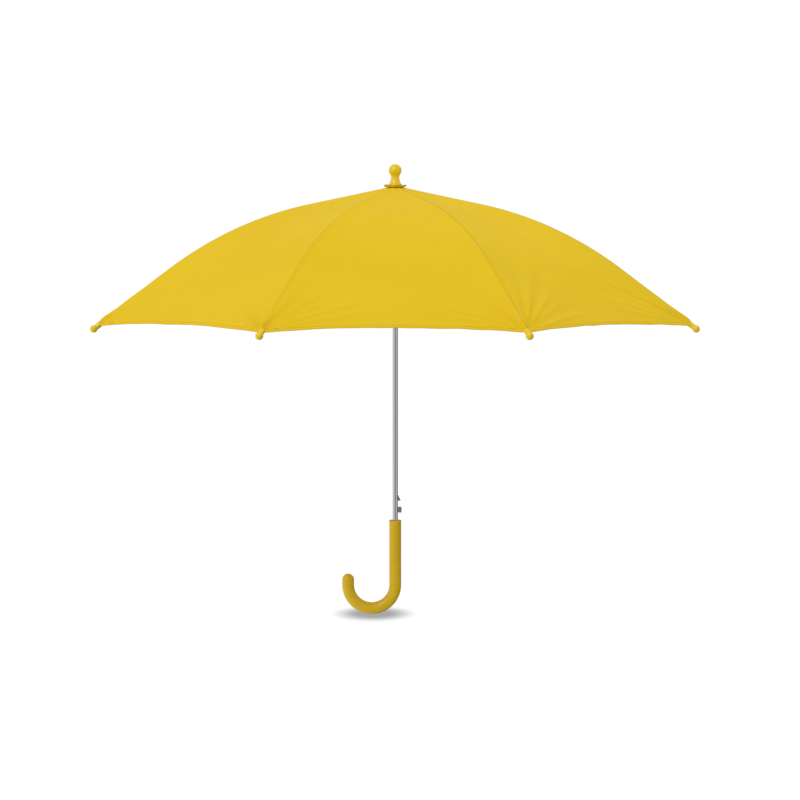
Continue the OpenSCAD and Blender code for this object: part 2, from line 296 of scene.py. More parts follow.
def plated_channel():
    """Bright plating over rolled strip, duller and browner where it has been rubbed."""
    material, tree, shader = new_finish("plated_channel", metallic=1.0)
    here = place(tree)
    spangle = add(tree, "TexVoronoi", {"feature": "SMOOTH_F1"}, Vector=here, Scale=420.0)
    patches = cloud(tree, here, 60.0, 4.0)
    bright = tint(tree, span(tree, spangle.outputs["Distance"], 0.1, 0.7),
                  (0.71, 0.71, 0.69, 1), (0.60, 0.60, 0.58, 1))
    feed(tree, shader.inputs["Base Color"],
         tint(tree, span(tree, patches, 0.62, 0.8, 0.0, 0.55), bright,
              (0.36, 0.32, 0.27, 1)))
    worn = use_group(tree, rub_marks, Vector=here, Scale=700.0).outputs["Mask"]
    feed(tree, shader.inputs["Roughness"],
         calc(tree, "ADD", span(tree, patches, 0.3, 0.75, 0.22, 0.42),
              calc(tree, "MULTIPLY", worn, 0.15)))
    feed(tree, shader.inputs["Normal"],
         bump(tree, cloud(tree, here, 520.0, 3.0), 0.00003, 0.4))
    return material


channel = plated_channel()
for i in RIBS:
    dress(nodes[f"rib_{i}"], channel)
    dress(nodes[f"stretcher_{i}"], channel)
    dress(nodes[f"joint_rivet_{i}"], wire)


# Canopy: woven polyester cut in eight gores and sewn together over the ribs. Each piece
# below is the cloth round one rib, from the middle of one gore to the middle of the
# next, so the pieces meet inside the gores as one sheet and the seams lie on the ribs.

FOLD_AT = next(j["pos_m"] for j in frame["joints"] if j["name"] == "canopy_fold")
PIVOT = math.hypot(FOLD_AT[0], FOLD_AT[1]) / MM
CROWN = FOLD_AT[2] / MM
SLOPE_IN = math.radians(11.6)
SLOPE_OUT = math.radians(35.81)
BEND_FROM = 125.0
BEND_TO = 319.0
TIP = 422.0
RHO = (BEND_TO - BEND_FROM) / (math.sin(SLOPE_OUT) - math.sin(SLOPE_IN))
INNER = (BEND_FROM - PIVOT) / math.cos(SLOPE_IN)
BEND = RHO * (SLOPE_OUT - SLOPE_IN)
RIB_LEN = INNER + BEND + (TIP - BEND_TO) / math.cos(SLOPE_OUT)
CLOTH_UP = 3.2
CLOTH_THICK = 0.24
CLOTH_IN = -2.0
CORNER = RIB_LEN - 7.0
HEM_CUT = 6.5
SAG = 5.0
HALF = math.pi / 8
# How wide a half gore is for each mm of its distance from the shaft.
HALF_GORE = math.sin(HALF) * math.cos(HALF)


def slope_at(s):
    """Slope of a rib at a distance in mm along it."""
    return SLOPE_IN + min(max(s - INNER, 0.0), BEND) / RHO


def line_at(s):
    """Distance from the shaft and height of a rib's middle line, in mm."""
    x = PIVOT + min(s, INNER) * math.cos(SLOPE_IN)
    z = CROWN - min(s, INNER) * math.sin(SLOPE_IN)
    turn = slope_at(s)
    x += RHO * (math.sin(turn) - math.sin(SLOPE_IN))
    z -= RHO * (math.cos(SLOPE_IN) - math.cos(turn))
    past = max(s - INNER - BEND, 0.0)
    return x + past * math.cos(SLOPE_OUT), z - past * math.sin(SLOPE_OUT)


def rib_turn(i):
    """Direction of a rib seen from above: two ribs stand a half gore each side of -Y."""
    return (2 * i - 1) * HALF - math.pi / 2


def over_rib(i, point):
    """Turns a point in mm made over the rib along +X to rib i, in metres."""
    return Matrix.Rotation(rib_turn(i), 4, "Z") @ (Vector(point) * MM)


def smooth(low, high, value):
    """Goes smoothly from 0 at low to 1 at high."""
    k = min(max((value - low) / (high - low), 0.0), 1.0)
    return k * k * (3 - 2 * k)


SEAM_FOLD = (math.radians(9), math.radians(5.0), 2.3, 26.0)
FOLD_ANGLES = (29, 43, 58, 70)


def corner_folds(gore, end):
    """Folds that pull away from one corner of a gore: angle, width, height and reach."""
    pick = random.Random(100 * gore + end)
    folds = [SEAM_FOLD]
    for angle in FOLD_ANGLES:
        folds.append((math.radians(angle + pick.uniform(-3, 3)),
                      math.radians(pick.uniform(3.2, 5.2)),
                      pick.uniform(1.4, 2.8), pick.uniform(26.0, 44.0)))
    return folds


FOLDS = {(g, e): corner_folds(g, e) for g in RIBS for e in (0, 1)}
SWELL = 1.5
RIPPLE = 0.45
HEM_WAVE = 0.8
HEM_WAVED = 45.0
SLACK = 0.3
TUCK = 3.4
WELT = 0.42
GROOVE = 0.30


def lift(gore, end, y, s, widest):
    """How far the cloth stands off its plain curve, in mm, y mm from one of its ribs."""
    down = max(CORNER - s, 0.0)
    far = math.hypot(y, down)
    angle = math.atan2(y, down)
    across = min(y / max(widest, 0.1), 1.0)
    rise = 0.0
    for middle, width, height, reach in FOLDS[gore, end]:
        x = far / reach
        rise += height * x * math.exp(1 - x) * math.exp(-((angle - middle) / width) ** 2)
    rise *= smooth(0.98, 0.60, across)
    signed = (across - 1) * (1 if end == 0 else -1)
    loose = smooth(0.0, 0.35, across) * smooth(0.0, 60.0, s)
    swells = noise.noise(Vector((signed * 1.7, s / 95.0, gore * 7.3)))
    ripples = noise.noise(Vector((signed * 5.0, s / 30.0, gore * 3.1)))
    hem_waves = noise.noise(Vector((signed * 7.0, 4.2, gore * 1.9)))
    near_hem = smooth(HEM_WAVED, 0.0, down)
    return rise + loose * (SWELL * swells + RIPPLE * ripples
                           + HEM_WAVE * near_hem * hem_waves - SLACK)


def tuck(y, s):
    """The cloth falls beside the rib to the tip's eye, where its corner is sewn, in mm."""
    down = max(CORNER - s, 0.0)
    return -TUCK * smooth(1.3, 5.5, y) * math.exp(-y / 48.0) * smooth(70.0, 0.0, down)


def seam_relief(side_y):
    """The seam from outside: a low welt on one side of a sunk line, in mm."""
    welt = WELT * smooth(-0.2, 0.5, side_y) * smooth(3.6, 2.8, side_y)
    return welt - GROOVE * math.exp(-(side_y / 0.55) ** 2)


def cloth_point(i, side, y, s, up):
    """A point of the cloth y mm to one side of rib i and s mm along it, up mm over it."""
    x, z = line_at(s)
    slope = slope_at(s)
    widest = max((x + up * math.sin(slope)) * HALF_GORE, 0.01)
    t = min(y / widest, 1.0)
    gore, end = (i, 0) if side > 0 else ((i - 2) % 8 + 1, 1)
    up += lift(gore, end, y, s, widest) + seam_relief(side * y) + tuck(y, s)
    x += up * math.sin(slope)
    z += up * math.cos(slope)
    y += t * (x * HALF_GORE - widest)
    sink = SAG * t * (2 - t) * math.sin(math.pi * min(max(s / RIB_LEN, 0.0), 1.0))
    return over_rib(i, (x * (1 - t * math.sin(HALF) ** 2), side * y, z - sink))


SEAM_COLS = 7
GORE_COLS = 44
ROWS = 118
SEAM_Y = 4.2
CORNER_FLAT = 0.025
HEM_FOLD = ((0.25, -0.18), (0.1, -0.5), (-5.5, -0.62))
NARROWEST = 0.8


def column_y(column, widest):
    """Distance from the rib of a grid column: close steps in the seam, wide ones past it."""
    seam = min(SEAM_Y, 0.45 * widest)
    if column <= SEAM_COLS:
        return seam * column / SEAM_COLS
    k = (column - SEAM_COLS) / GORE_COLS
    return seam + (widest - seam) * (0.35 * k * k + 0.65 * k)


def hem_at(t):
    """How far along the rib the hem lies, t of the way to the gore's middle."""
    clear = max(t - CORNER_FLAT, 0.0) / (1 - CORNER_FLAT)
    return CORNER - HEM_CUT * clear * (2 - clear)


def half_gore_at(s, up):
    """Width of the cloth from the rib to the gore's middle, up mm over the rib."""
    return max((line_at(s)[0] + up * math.sin(slope_at(s))) * HALF_GORE, NARROWEST)


def made_mesh(bm, name):
    """Turns a bmesh into a mesh and frees it."""
    mesh = bpy.data.meshes.new(name)
    bm.to_mesh(mesh)
    bm.free()
    return mesh


def cloth_made(bm, name, threads, spots):
    """A smooth mesh whose UV map holds each point's place in the flat cloth, in metres."""
    for face in bm.faces:
        face.smooth = True
        for loop in face.loops:
            loop[threads].uv = spots[loop.vert]
    return made_mesh(bm, name)


def cloth_mesh(i):
    """One grid, shaped over rib i, with its hem turned under."""
    half = SEAM_COLS + GORE_COLS
    rows = ROWS + len(HEM_FOLD)
    bm = bmesh.new()
    bmesh.ops.create_grid(bm, x_segments=rows, y_segments=2 * half, size=1.0)
    threads = bm.loops.layers.uv.new("threads")
    from_hem = bm.verts.layers.float.new("from_hem")
    spots = {}
    for vert in bm.verts:
        row = round((vert.co.x + 1) / 2 * rows)
        column = round((vert.co.y + 1) / 2 * 2 * half) - half
        side = 1 if column >= 0 else -1
        k = min(row, ROWS) / ROWS
        s = CLOTH_IN + (CORNER - CLOTH_IN) * (0.72 * k + 0.28 * (1 - (1 - k) ** 2))
        widest = half_gore_at(s, CLOTH_UP)
        t = column_y(abs(column), widest) / widest
        s = CLOTH_IN + (s - CLOTH_IN) * (hem_at(t) - CLOTH_IN) / (CORNER - CLOTH_IN)
        up = CLOTH_UP
        if row > ROWS:
            turned, drop = HEM_FOLD[row - ROWS - 1]
            up += drop
            s += turned
        y = t * half_gore_at(s, up)
        vert[from_hem] = (hem_at(t) - s) * MM
        spots[vert] = (side * y * MM, s * MM)
        vert.co = cloth_point(i, side, y, s, up)
    for edge in bm.edges:
        edge.smooth = not edge.is_boundary
    return cloth_made(bm, f"canopy_cloth_{i}", threads, spots)


def weave_group():
    """Plain weave: warp and weft threads that pass over each other in turn."""
    tree, given, result = group_of(
        "plain_weave", [("Vector", "Vector"), ("Threads", "Float")],
        [("Height", "Float"), ("Warp", "Float")])
    wander = add(tree, "TexNoise", Vector=given.outputs["Vector"], Scale=420.0)
    shift = add(tree, "VectorMath", {"operation": "SCALE"},
                Vector=wander.outputs["Color"], Scale=0.00012)
    moved = add(tree, "VectorMath", {"operation": "ADD"})
    feed(tree, moved.inputs[0], given.outputs["Vector"])
    feed(tree, moved.inputs[1], shift.outputs[0])
    counted = add(tree, "VectorMath", {"operation": "SCALE"}, Vector=moved.outputs[0],
                  Scale=given.outputs["Threads"])
    split = add(tree, "SeparateXYZ", Vector=counted.outputs[0])
    rounds = [calc(tree, "ABSOLUTE", calc(tree, "SINE", calc(
        tree, "MULTIPLY", split.outputs[axis], math.pi))) for axis in ("X", "Y")]
    over = add(tree, "TexChecker", Vector=counted.outputs[0], Scale=1.0).outputs["Fac"]
    warp = calc(tree, "MULTIPLY", rounds[0], over)
    weft = calc(tree, "MULTIPLY", rounds[1], calc(tree, "SUBTRACT", 1.0, over))
    feed(tree, result.inputs["Height"], calc(tree, "ADD", warp, weft))
    feed(tree, result.inputs["Warp"], over)
    return tree


plain_weave = weave_group()
THREADS_PER_METRE = 1900.0
YELLOW = (0.800, 0.545, 0.014, 1)
YELLOW_DEEP = (0.750, 0.495, 0.010, 1)
YELLOW_SHADE = (0.42, 0.26, 0.010, 1)


def cloth(name, seams=True):
    """Dyed polyester: weave, uneven dye, and painted shade along its seams and at the hem's
    edge.
    """
    material, tree, shader = new_finish(name, ior=1.45)
    threads = add(tree, "UVMap", {"uv_map": "threads"}).outputs["UV"]
    woven = use_group(tree, plain_weave, Vector=threads, Threads=THREADS_PER_METRE)
    here = place(tree)
    dye = cloud(tree, here, 9.0, 4.0)
    slub = cloud(tree, stretched(tree, threads, (1.0, 0.02, 1.0)), 900.0, 2.0)
    colour = tint(tree, span(tree, dye, 0.25, 0.75, 0.0, 0.55), YELLOW, YELLOW_DEEP)
    colour = tint(tree, span(tree, slub, 0.45, 0.75, 0.0, 0.16), colour, YELLOW_DEEP)
    colour = tint(tree, calc(tree, "MULTIPLY", woven.outputs["Warp"], 0.07), colour,
                  YELLOW_DEEP)
    height = woven.outputs["Height"]
    normal = bump(tree, height, 0.00005, 0.35)
    if seams:
        seam = calc(tree, "ABSOLUTE", add(tree, "SeparateXYZ", Vector=threads).outputs["X"])
        # Painted shade: the colour darkens towards YELLOW_SHADE along each seam's line and at
        # the hem's edge.
        line = span(tree, seam, 0.0014, 0.0002)
        hem = add(tree, "Attribute", {"attribute_name": "from_hem"}).outputs["Fac"]
        edge = span(tree, hem, 0.0016, 0.0)
        dark = calc(tree, "MAXIMUM", calc(tree, "MULTIPLY", line, 0.30),
                    calc(tree, "MULTIPLY", edge, 0.40))
        colour = tint(tree, dark, colour, YELLOW_SHADE)
        pucker = cloud(tree, stretched(tree, threads, (0.35, 1.0, 1.0)), 260.0, 2.0)
        near = calc(tree, "MAXIMUM", span(tree, seam, 0.011, 0.001),
                    calc(tree, "MULTIPLY", span(tree, hem, 0.012, 0.005), 0.8))
        normal = bump(tree, calc(tree, "MULTIPLY", pucker, near), 0.0007, 0.5, normal)
        stitched = calc(tree, "MULTIPLY", span(tree, hem, 0.0038, 0.0044),
                        span(tree, hem, 0.0056, 0.0050))
        normal = bump(tree, stitched, -0.0003, 0.5, normal)
    feed(tree, shader.inputs["Base Color"], colour)
    feed(tree, shader.inputs["Roughness"], span(tree, slub, 0.3, 0.8, 0.62, 0.78))
    feed(tree, shader.inputs["Normal"], normal)
    shader.inputs["Specular IOR Level"].default_value = 0.07
    return material


def thicken(piece, thickness, offset=-1.0):
    """Gives a sheet its thickness, on the inner side unless told otherwise."""
    wall = piece.modifiers.new("thickness", "SOLIDIFY")
    wall.thickness = thickness * MM
    wall.offset = offset
    return piece


def new_piece(name, mesh, material):
    """Links a finished mesh as an object at the origin."""
    piece = bpy.data.objects.new(name, mesh)
    bpy.context.scene.collection.objects.link(piece)
    dress(piece, material)
    return piece


def go_with_rib(piece, i, keep=None):
    """Rides on rib i, with a mesh of its own when keep is given."""
    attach(piece, f"rib_{i}")
    if keep:
        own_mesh(piece)


canopy_cloth = cloth("canopy_cloth")
GATHERED = 0.28
for i in RIBS:
    piece = new_piece(f"canopy_cloth_{i}", cloth_mesh(i), canopy_cloth)
    thicken(piece, CLOTH_THICK)
    go_with_rib(piece, i, GATHERED)
    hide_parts(f"canopy_{i}")


# Needlework: a lockstitch holds the turned hem, the seam's raw edges lie open under each
# rib with a chain stitch along them, and three thread ties bind every seam to its rib.

STITCH = 3.2
STITCH_R = 0.16
HEM_STITCH = 4.7
HEM_FROM = 2.5
OUTSIDE = -0.11
UNDER_HEM = CLOTH_THICK + 0.66
CHAIN_Y = 1.2
CHAIN_FROM = 14.0
CHAIN_TO = CORNER - 8.0
CHAIN_UNDER = CLOTH_THICK + 0.42
ALLOWANCE = 5.2
ALLOWANCE_FROM = 8.0
ALLOWANCE_LONG = CORNER - 16.0
ALLOWANCE_THICK = 0.16
ALLOWANCE_ROWS = 90
ALLOWANCE_COLS = 8
TIES_AT = (95.0, 232.0, 352.0)
TIE_TURNS = 4
TIE_PITCH = 0.36
TIE_ROUND = 1.75
TIE_TALL = 1.36
TIE_UP = 0.45
TIE_R = 0.17


MERGE = 0.002 * MM


def surface(i, side, y, s, drop):
    """A point on the cloth's outer face, or drop mm under it."""
    return cloth_point(i, side, y, s, CLOTH_UP - drop)


def finished(bm, name):
    """Merges doubles, points the faces outwards and makes a smooth mesh."""
    bmesh.ops.remove_doubles(bm, verts=bm.verts, dist=MERGE)
    bmesh.ops.recalc_face_normals(bm, faces=bm.faces)
    for face in bm.faces:
        face.smooth = True
    return made_mesh(bm, name)


def plump_thread():
    """A stitch one unit in radius, to be stretched and laid wherever one shows."""
    bm = bmesh.new()
    bmesh.ops.create_uvsphere(bm, u_segments=6, v_segments=4, radius=1.0)
    return finished(bm, "plump_thread")


one_stitch = plump_thread()


def lay(bm, mesh, matrix):
    """Adds a copy of a small mesh, placed by a matrix."""
    laid = mesh.copy()
    laid.transform(matrix)
    bm.from_mesh(laid)
    bpy.data.meshes.remove(laid)


def stitch(bm, start, end, radius=STITCH_R):
    """One visible stitch: a plump thread that dips into the cloth at both ends."""
    along = end - start
    place_at = Matrix.Translation((start + end) / 2)
    turn = along.to_track_quat("Z", "Y").to_matrix().to_4x4()
    size = Matrix.Diagonal((radius * MM, radius * MM, along.length / 2, 1.0))
    lay(bm, one_stitch, place_at @ turn @ size)


def stitch_row(bm, points, share=0.78):
    """Stitches laid end to end along a line of points, with short gaps between them."""
    for start, end in zip(points, points[1:]):
        middle = (start + end) / 2
        stitch(bm, middle + (start - middle) * share, middle + (end - middle) * share)


def hem_y(k, widest):
    """Distance from the rib of hem stitch position k, from 0 at the rib to 1."""
    return HEM_FROM + (widest - HEM_FROM) * k


def needlework_mesh(i):
    """The hem's stitches on both faces, and the chain stitch along the seam's underside."""
    bm = bmesh.new()
    widest = line_at(CORNER)[0] * HALF_GORE
    count = round(widest / STITCH)
    for side in (1, -1):
        for drop in (OUTSIDE, UNDER_HEM):
            row = []
            for k in range(count + 1):
                t = min(hem_y(k / count, widest) / widest, 1.0)
                s = hem_at(t) - HEM_STITCH
                row.append(surface(i, side, t * half_gore_at(s, CLOTH_UP), s, drop))
            stitch_row(bm, row)
    chain_stitches = math.ceil((CHAIN_TO - CHAIN_FROM) / STITCH)
    stitch_row(bm, [surface(i, 1, CHAIN_Y, CHAIN_FROM + k * STITCH, CHAIN_UNDER)
                    for k in range(chain_stitches)], 0.9)
    return finished(bm, f"needlework_{i}")


def allowance_mesh(i):
    """The seam's two raw edges pressed open against the underside."""
    bm = bmesh.new()
    bmesh.ops.create_grid(bm, x_segments=ALLOWANCE_ROWS, y_segments=ALLOWANCE_COLS, size=1.0)
    threads = bm.loops.layers.uv.new("threads")
    spots = {}
    pick = random.Random(i)
    ragged = [pick.uniform(-0.25, 0.25) for _ in range(ALLOWANCE_ROWS + 1)]
    for vert in bm.verts:
        row = round((vert.co.x + 1) / 2 * ALLOWANCE_ROWS)
        side = 1 if vert.co.y >= 0 else -1
        out = abs(vert.co.y)
        s = ALLOWANCE_FROM + ALLOWANCE_LONG * row / ALLOWANCE_ROWS
        room = 0.4 * line_at(s)[0] * HALF_GORE
        y = out * (min(ALLOWANCE, room) + ragged[row] * out ** 3)
        curl = 0.22 * out ** 3
        spots[vert] = (side * y * MM, s * MM)
        vert.co = surface(i, side, y, s, CLOTH_THICK + ALLOWANCE_THICK + curl)
    return cloth_made(bm, f"seam_allowance_{i}", threads, spots)


def thread_ring():
    """One turn of a tie's thread, lying round +Z."""
    bm = bmesh.new()
    stand = Matrix.Translation((TIE_ROUND * MM, 0, 0)) @ Matrix.Rotation(math.pi / 2, 4, "X")
    bmesh.ops.create_circle(bm, segments=8, radius=TIE_R * MM, matrix=stand)
    bmesh.ops.spin(bm, geom=bm.verts[:] + bm.edges[:], angle=2 * math.pi, steps=24,
                   axis=(0, 0, 1), cent=(0, 0, 0), use_merge=True)
    return finished(bm, "thread_ring")


one_ring = thread_ring()


def out_along(i, s, up=0.0):
    """Places a piece made along +Z at a distance along rib i, pointing outwards."""
    x, z = line_at(s)
    slope = slope_at(s)
    x += up * math.sin(slope)
    z += up * math.cos(slope)
    tilt = Matrix.Rotation(math.pi / 2 + slope, 4, "Y")
    turn = Matrix.Rotation(rib_turn(i), 4, "Z")
    return turn @ Matrix.Translation(Vector((x, 0, z)) * MM) @ tilt


def tie_mesh(i):
    """Three ties, each of four leaning turns of thread round the rib and the seam."""
    bm = bmesh.new()
    for s in TIES_AT:
        for turn in range(TIE_TURNS):
            from_middle = turn - (TIE_TURNS - 1) / 2
            beside = Matrix.Translation((0, 0, TIE_PITCH * from_middle * MM))
            lean = Matrix.Rotation(0.12 * from_middle, 4, "Y")
            tall = Matrix.Diagonal((TIE_TALL, 1.0, 1.0, 1.0))
            lay(bm, one_ring, out_along(i, s, TIE_UP) @ beside @ lean @ tall)
    return finished(bm, f"rib_ties_{i}")


def thread_finish(name, colour):
    """Twisted polyester thread."""
    material, tree, shader = new_finish(name, ior=1.45)
    here = place(tree)
    twist = cloud(tree, here, 2600.0, 2.0)
    darker = tuple(0.78 * c for c in colour[:3]) + (1.0,)
    feed(tree, shader.inputs["Base Color"],
         tint(tree, span(tree, twist, 0.35, 0.7), colour, darker))
    feed(tree, shader.inputs["Roughness"], span(tree, twist, 0.3, 0.7, 0.5, 0.7))
    feed(tree, shader.inputs["Normal"], bump(tree, twist, 0.00006, 0.6))
    shader.inputs["Specular IOR Level"].default_value = 0.2
    return material


yellow_thread = thread_finish("yellow_thread", (0.70, 0.46, 0.012, 1))
trim_cloth = cloth("trim_cloth", seams=False)
for i in RIBS:
    sewn = new_piece(f"needlework_{i}", needlework_mesh(i), yellow_thread)
    go_with_rib(sewn, i, GATHERED)
    edges = thicken(new_piece(f"seam_allowance_{i}", allowance_mesh(i), trim_cloth),
                    ALLOWANCE_THICK)
    go_with_rib(edges, i, GATHERED)
    ties = new_piece(f"rib_ties_{i}", tie_mesh(i), yellow_thread)
    go_with_rib(ties, i)


# Grip: a J moulded in yellow plastic over the foot of the tube. It has a small bead
# round its mouth, a round free end and the fine line where the mould's halves met.

GRIP_R = 8.15
GRIP_TOP = 45.0
HOOK_R = 32.4
HOOK_Z = -44.5
HOOK_LEG = 7.2
MOUTH_R = 3.85
LEG_DROP = 3.4
MOUTH = ((8.18, 3.0), (8.38, 2.65), (8.5, 2.1), (8.5, 1.1), (8.42, 0.6), (8.15, 0.2),
         (7.75, 0.0), (6.6, 0.0), (5.0, 0.04), (4.35, 0.2), (3.95, 0.55), (MOUTH_R, 1.0),
         (MOUTH_R, 15.0), (MOUTH_R, 53.0))
RING = 48
TIP_RINGS = 10
HOOK_STEPS = 44
LEG_STEPS = 6


def grow(bm, ring, matrix):
    """Extrudes an open ring of edges and moves the new ring; gives back its edges."""
    made = bmesh.ops.extrude_edge_only(bm, edges=ring)["geom"]
    verts = [g for g in made if isinstance(g, bmesh.types.BMVert)]
    bmesh.ops.transform(bm, matrix=matrix, verts=verts)
    return [g for g in made if isinstance(g, bmesh.types.BMEdge)
            and all(v in verts for v in g.verts)]


def about(point, matrix):
    """The matrix used about a point instead of the origin."""
    there = Matrix.Translation(point)
    return there @ matrix @ there.inverted()


def swell(bm, ring, centre, factor, step):
    """A new ring, scaled about its own centre and moved by a step."""
    return grow(bm, ring, Matrix.Translation(step) @ about(centre, Matrix.Scale(factor, 4)))


def closed_end(bm, ring):
    """Draws a ring together into a pole."""
    verts = list({v for edge in ring for v in edge.verts})
    middle = sum((v.co for v in verts), Vector()) / len(verts)
    bmesh.ops.pointmerge(bm, verts=verts, merge_co=middle)


def grip_mesh():
    """A ring grown both ways: up into the round end, and down, round the hook and up to
    the mouth. MOUTH gives the mouth's rings as a radius and a depth below the top."""
    bm = bmesh.new()
    foot = Vector((-2 * HOOK_R, 0, HOOK_Z + HOOK_LEG)) * MM
    bmesh.ops.create_circle(bm, segments=RING, radius=GRIP_R * MM,
                            matrix=Matrix.Translation(foot))
    ring = list(bm.edges)
    tip = ring
    for k in range(1, TIP_RINGS):
        a, b = (k - 1) * math.pi / 2 / TIP_RINGS, k * math.pi / 2 / TIP_RINGS
        step = Vector((0, 0, GRIP_R * MM * (math.sin(b) - math.sin(a))))
        centre = foot + Vector((0, 0, GRIP_R * MM * math.sin(a)))
        tip = swell(bm, tip, centre, math.cos(b) / math.cos(a), step)
    pole = swell(bm, tip, foot, 1.0, Vector((0, 0, GRIP_R * MM * (1 - math.sin(b)))))
    closed_end(bm, pole)
    leg = grow(bm, ring, Matrix.Translation((0, 0, -HOOK_LEG * MM)))
    hub = Vector((-HOOK_R, 0, HOOK_Z)) * MM
    for _ in range(HOOK_STEPS):
        leg = grow(bm, leg, about(hub, Matrix.Rotation(-math.pi / HOOK_STEPS, 4, "Y")))
    radius, height = GRIP_R, GRIP_TOP - LEG_DROP
    for _ in range(LEG_STEPS):
        leg = grow(bm, leg, Matrix.Translation((0, 0, (height - HOOK_Z) / LEG_STEPS * MM)))
    for to_radius, below in MOUTH:
        centre = Vector((0, 0, height)) * MM
        step = Vector((0, 0, GRIP_TOP - below - height)) * MM
        leg = swell(bm, leg, centre, to_radius / radius, step)
        radius, height = to_radius, GRIP_TOP - below
    closed_end(bm, grow(bm, leg, Matrix.Identity(4)))
    return finished(bm, "grip")


def yellow_plastic(name, colour, rough, parting=None):
    """Yellow plastic with a soft gloss; parting is the axis across which its mould split."""
    material = moulded(name, colour, rough, deeper=0.95, marks=0.06, grain=190.0,
                       shine=0.28)
    if parting is None:
        return material
    tree = material.node_tree
    shader = tree.nodes["Principled BSDF"]
    across = add(tree, "SeparateXYZ", Vector=place(tree)).outputs[parting]
    line = span(tree, calc(tree, "ABSOLUTE", across), 0.00035, 0.00008)
    earlier = shader.inputs["Normal"].links[0].from_socket
    feed(tree, shader.inputs["Normal"], bump(tree, line, 0.00010, 0.8, earlier))
    return material


GRIP_YELLOW = (0.720, 0.480, 0.010, 1)
grip = new_piece("grip", grip_mesh(), yellow_plastic("grip_plastic", GRIP_YELLOW, 0.27, "Y"))
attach(grip, "root")
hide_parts("handle")


# Finial: a turned-looking yellow moulding pressed over the tube's head. A ball stands
# on a waist that flares to a foot, which holds the rosette and cloth down.

FINIAL_PROFILE = ((9.15, 501.35), (9.15, 502.9), (8.9, 503.5), (8.2, 504.6), (7.4, 506.1),
                  (6.7, 507.8), (6.15, 509.6), (5.75, 511.6), (5.5, 513.4), (5.45, 514.9))
SOCKET_R = 3.7
SOCKET_TOP = 502.6
WAIST_Z = 517.2
BALL_Z = 523.05
BALL_R = 8.6


def lathe(bm, profile, steps=48, matrix=Matrix.Identity(4)):
    """Spins a profile of (radius, height) in mm about +Z, then places it."""
    verts = [bm.verts.new((r * MM, 0, z * MM)) for r, z in profile]
    edges = [bm.edges.new(pair) for pair in zip(verts, verts[1:])]
    bmesh.ops.spin(bm, geom=verts + edges, angle=2 * math.pi, steps=steps,
                   axis=(0, 0, 1), cent=(0, 0, 0), use_merge=True)
    bmesh.ops.remove_doubles(bm, verts=bm.verts, dist=MERGE)
    bmesh.ops.transform(bm, matrix=matrix, verts=bm.verts)


def arc(radius, centre_z, low, high, steps):
    """Points of a circle round the axis, from one height angle to another."""
    angles = [low + (high - low) * k / steps for k in range(steps + 1)]
    return [(max(radius * math.cos(a), 0.0), centre_z + radius * math.sin(a))
            for a in angles]


def finial_mesh():
    """The foot and waist from their profile, with the ball's arc on top."""
    bm = bmesh.new()
    waist = math.asin((WAIST_Z - BALL_Z) / BALL_R)
    foot_z = FINIAL_PROFILE[0][1]
    lathe(bm, [(SOCKET_R, SOCKET_TOP), (SOCKET_R, foot_z), *FINIAL_PROFILE,
               *arc(BALL_R, BALL_Z, waist, math.pi / 2, 18)])
    return finished(bm, "finial_ball")


TIP_YELLOW = (0.860, 0.610, 0.012, 1)
tip_plastic = yellow_plastic("tip_plastic", TIP_YELLOW, 0.24)
finial = new_piece("finial_ball", finial_mesh(),
                   yellow_plastic("finial_plastic", TIP_YELLOW, 0.24, "X"))
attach(finial, "root")
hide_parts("finial")


# Rib tips: a moulded ball on a short neck, pushed over each rib's end wire. The cloth's
# corner is sewn through the neck's eye with a few turns of thread.

BALL = 4.85
BALL_NECK = 3.7
NECK = ((0.97, -10.2), (2.4, -10.9), (3.2, -10.7), (3.65, -10.1), (3.8, -9.3),
        (3.78, -8.0), (3.68, -6.4), (3.6, -4.9), (3.62, -3.9))


def tip_mesh(i):
    """The neck's profile and the ball's arc, turned about the rib's end."""
    bm = bmesh.new()
    start = -math.acos(BALL_NECK / BALL)
    profile = [*NECK, *arc(BALL, 0.0, start, math.pi / 2, 14)]
    lathe(bm, profile, 32, out_along(i, RIB_LEN))
    return finished(bm, f"tip_{i}")


for i in RIBS:
    tip = new_piece(f"tip_{i}", tip_mesh(i), tip_plastic)
    go_with_rib(tip, i)
    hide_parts(f"rib_tip_{i}")


# Rosette: a disc of the same cloth, overlocked round its edge, that covers the hole in
# the canopy's middle. It is gathered under the finial's foot, so its edge stands in waves.

ROSETTE_PROFILE = ((3.9, 501.15), (6.6, 501.15), (9.3, 501.12), (10.4, 500.8), (11.6, 500.5),
                   (12.8, 500.45), (13.7, 500.75), (14.3, 501.3), (14.6, 501.9),
                   (14.75, 502.5), (14.7, 503.1))
RUFFLED_FROM = (9.5, 500.2)
RUFFLES = ((5, 0.6, 0.45), (13, 2.0, 0.315))
RIM_WRAPS = 96
RIM_THREAD = 0.26
RIM_COVER = 0.35


def ruffled(radius, angle, height):
    """A point of the rosette: flat under the foot, waved towards its edge. A ruffle is its
    count round the rim, its phase and its height."""
    rim, top = ROSETTE_PROFILE[-1]
    k = smooth(RUFFLED_FROM[0], rim, radius) * smooth(RUFFLED_FROM[1], top, height)
    radius += 0.25 * k * math.sin(9 * angle + 1.0)
    height += k * sum(high * math.sin(count * angle + phase)
                      for count, phase, high in RUFFLES)
    return Vector((radius * math.cos(angle), radius * math.sin(angle), height)) * MM


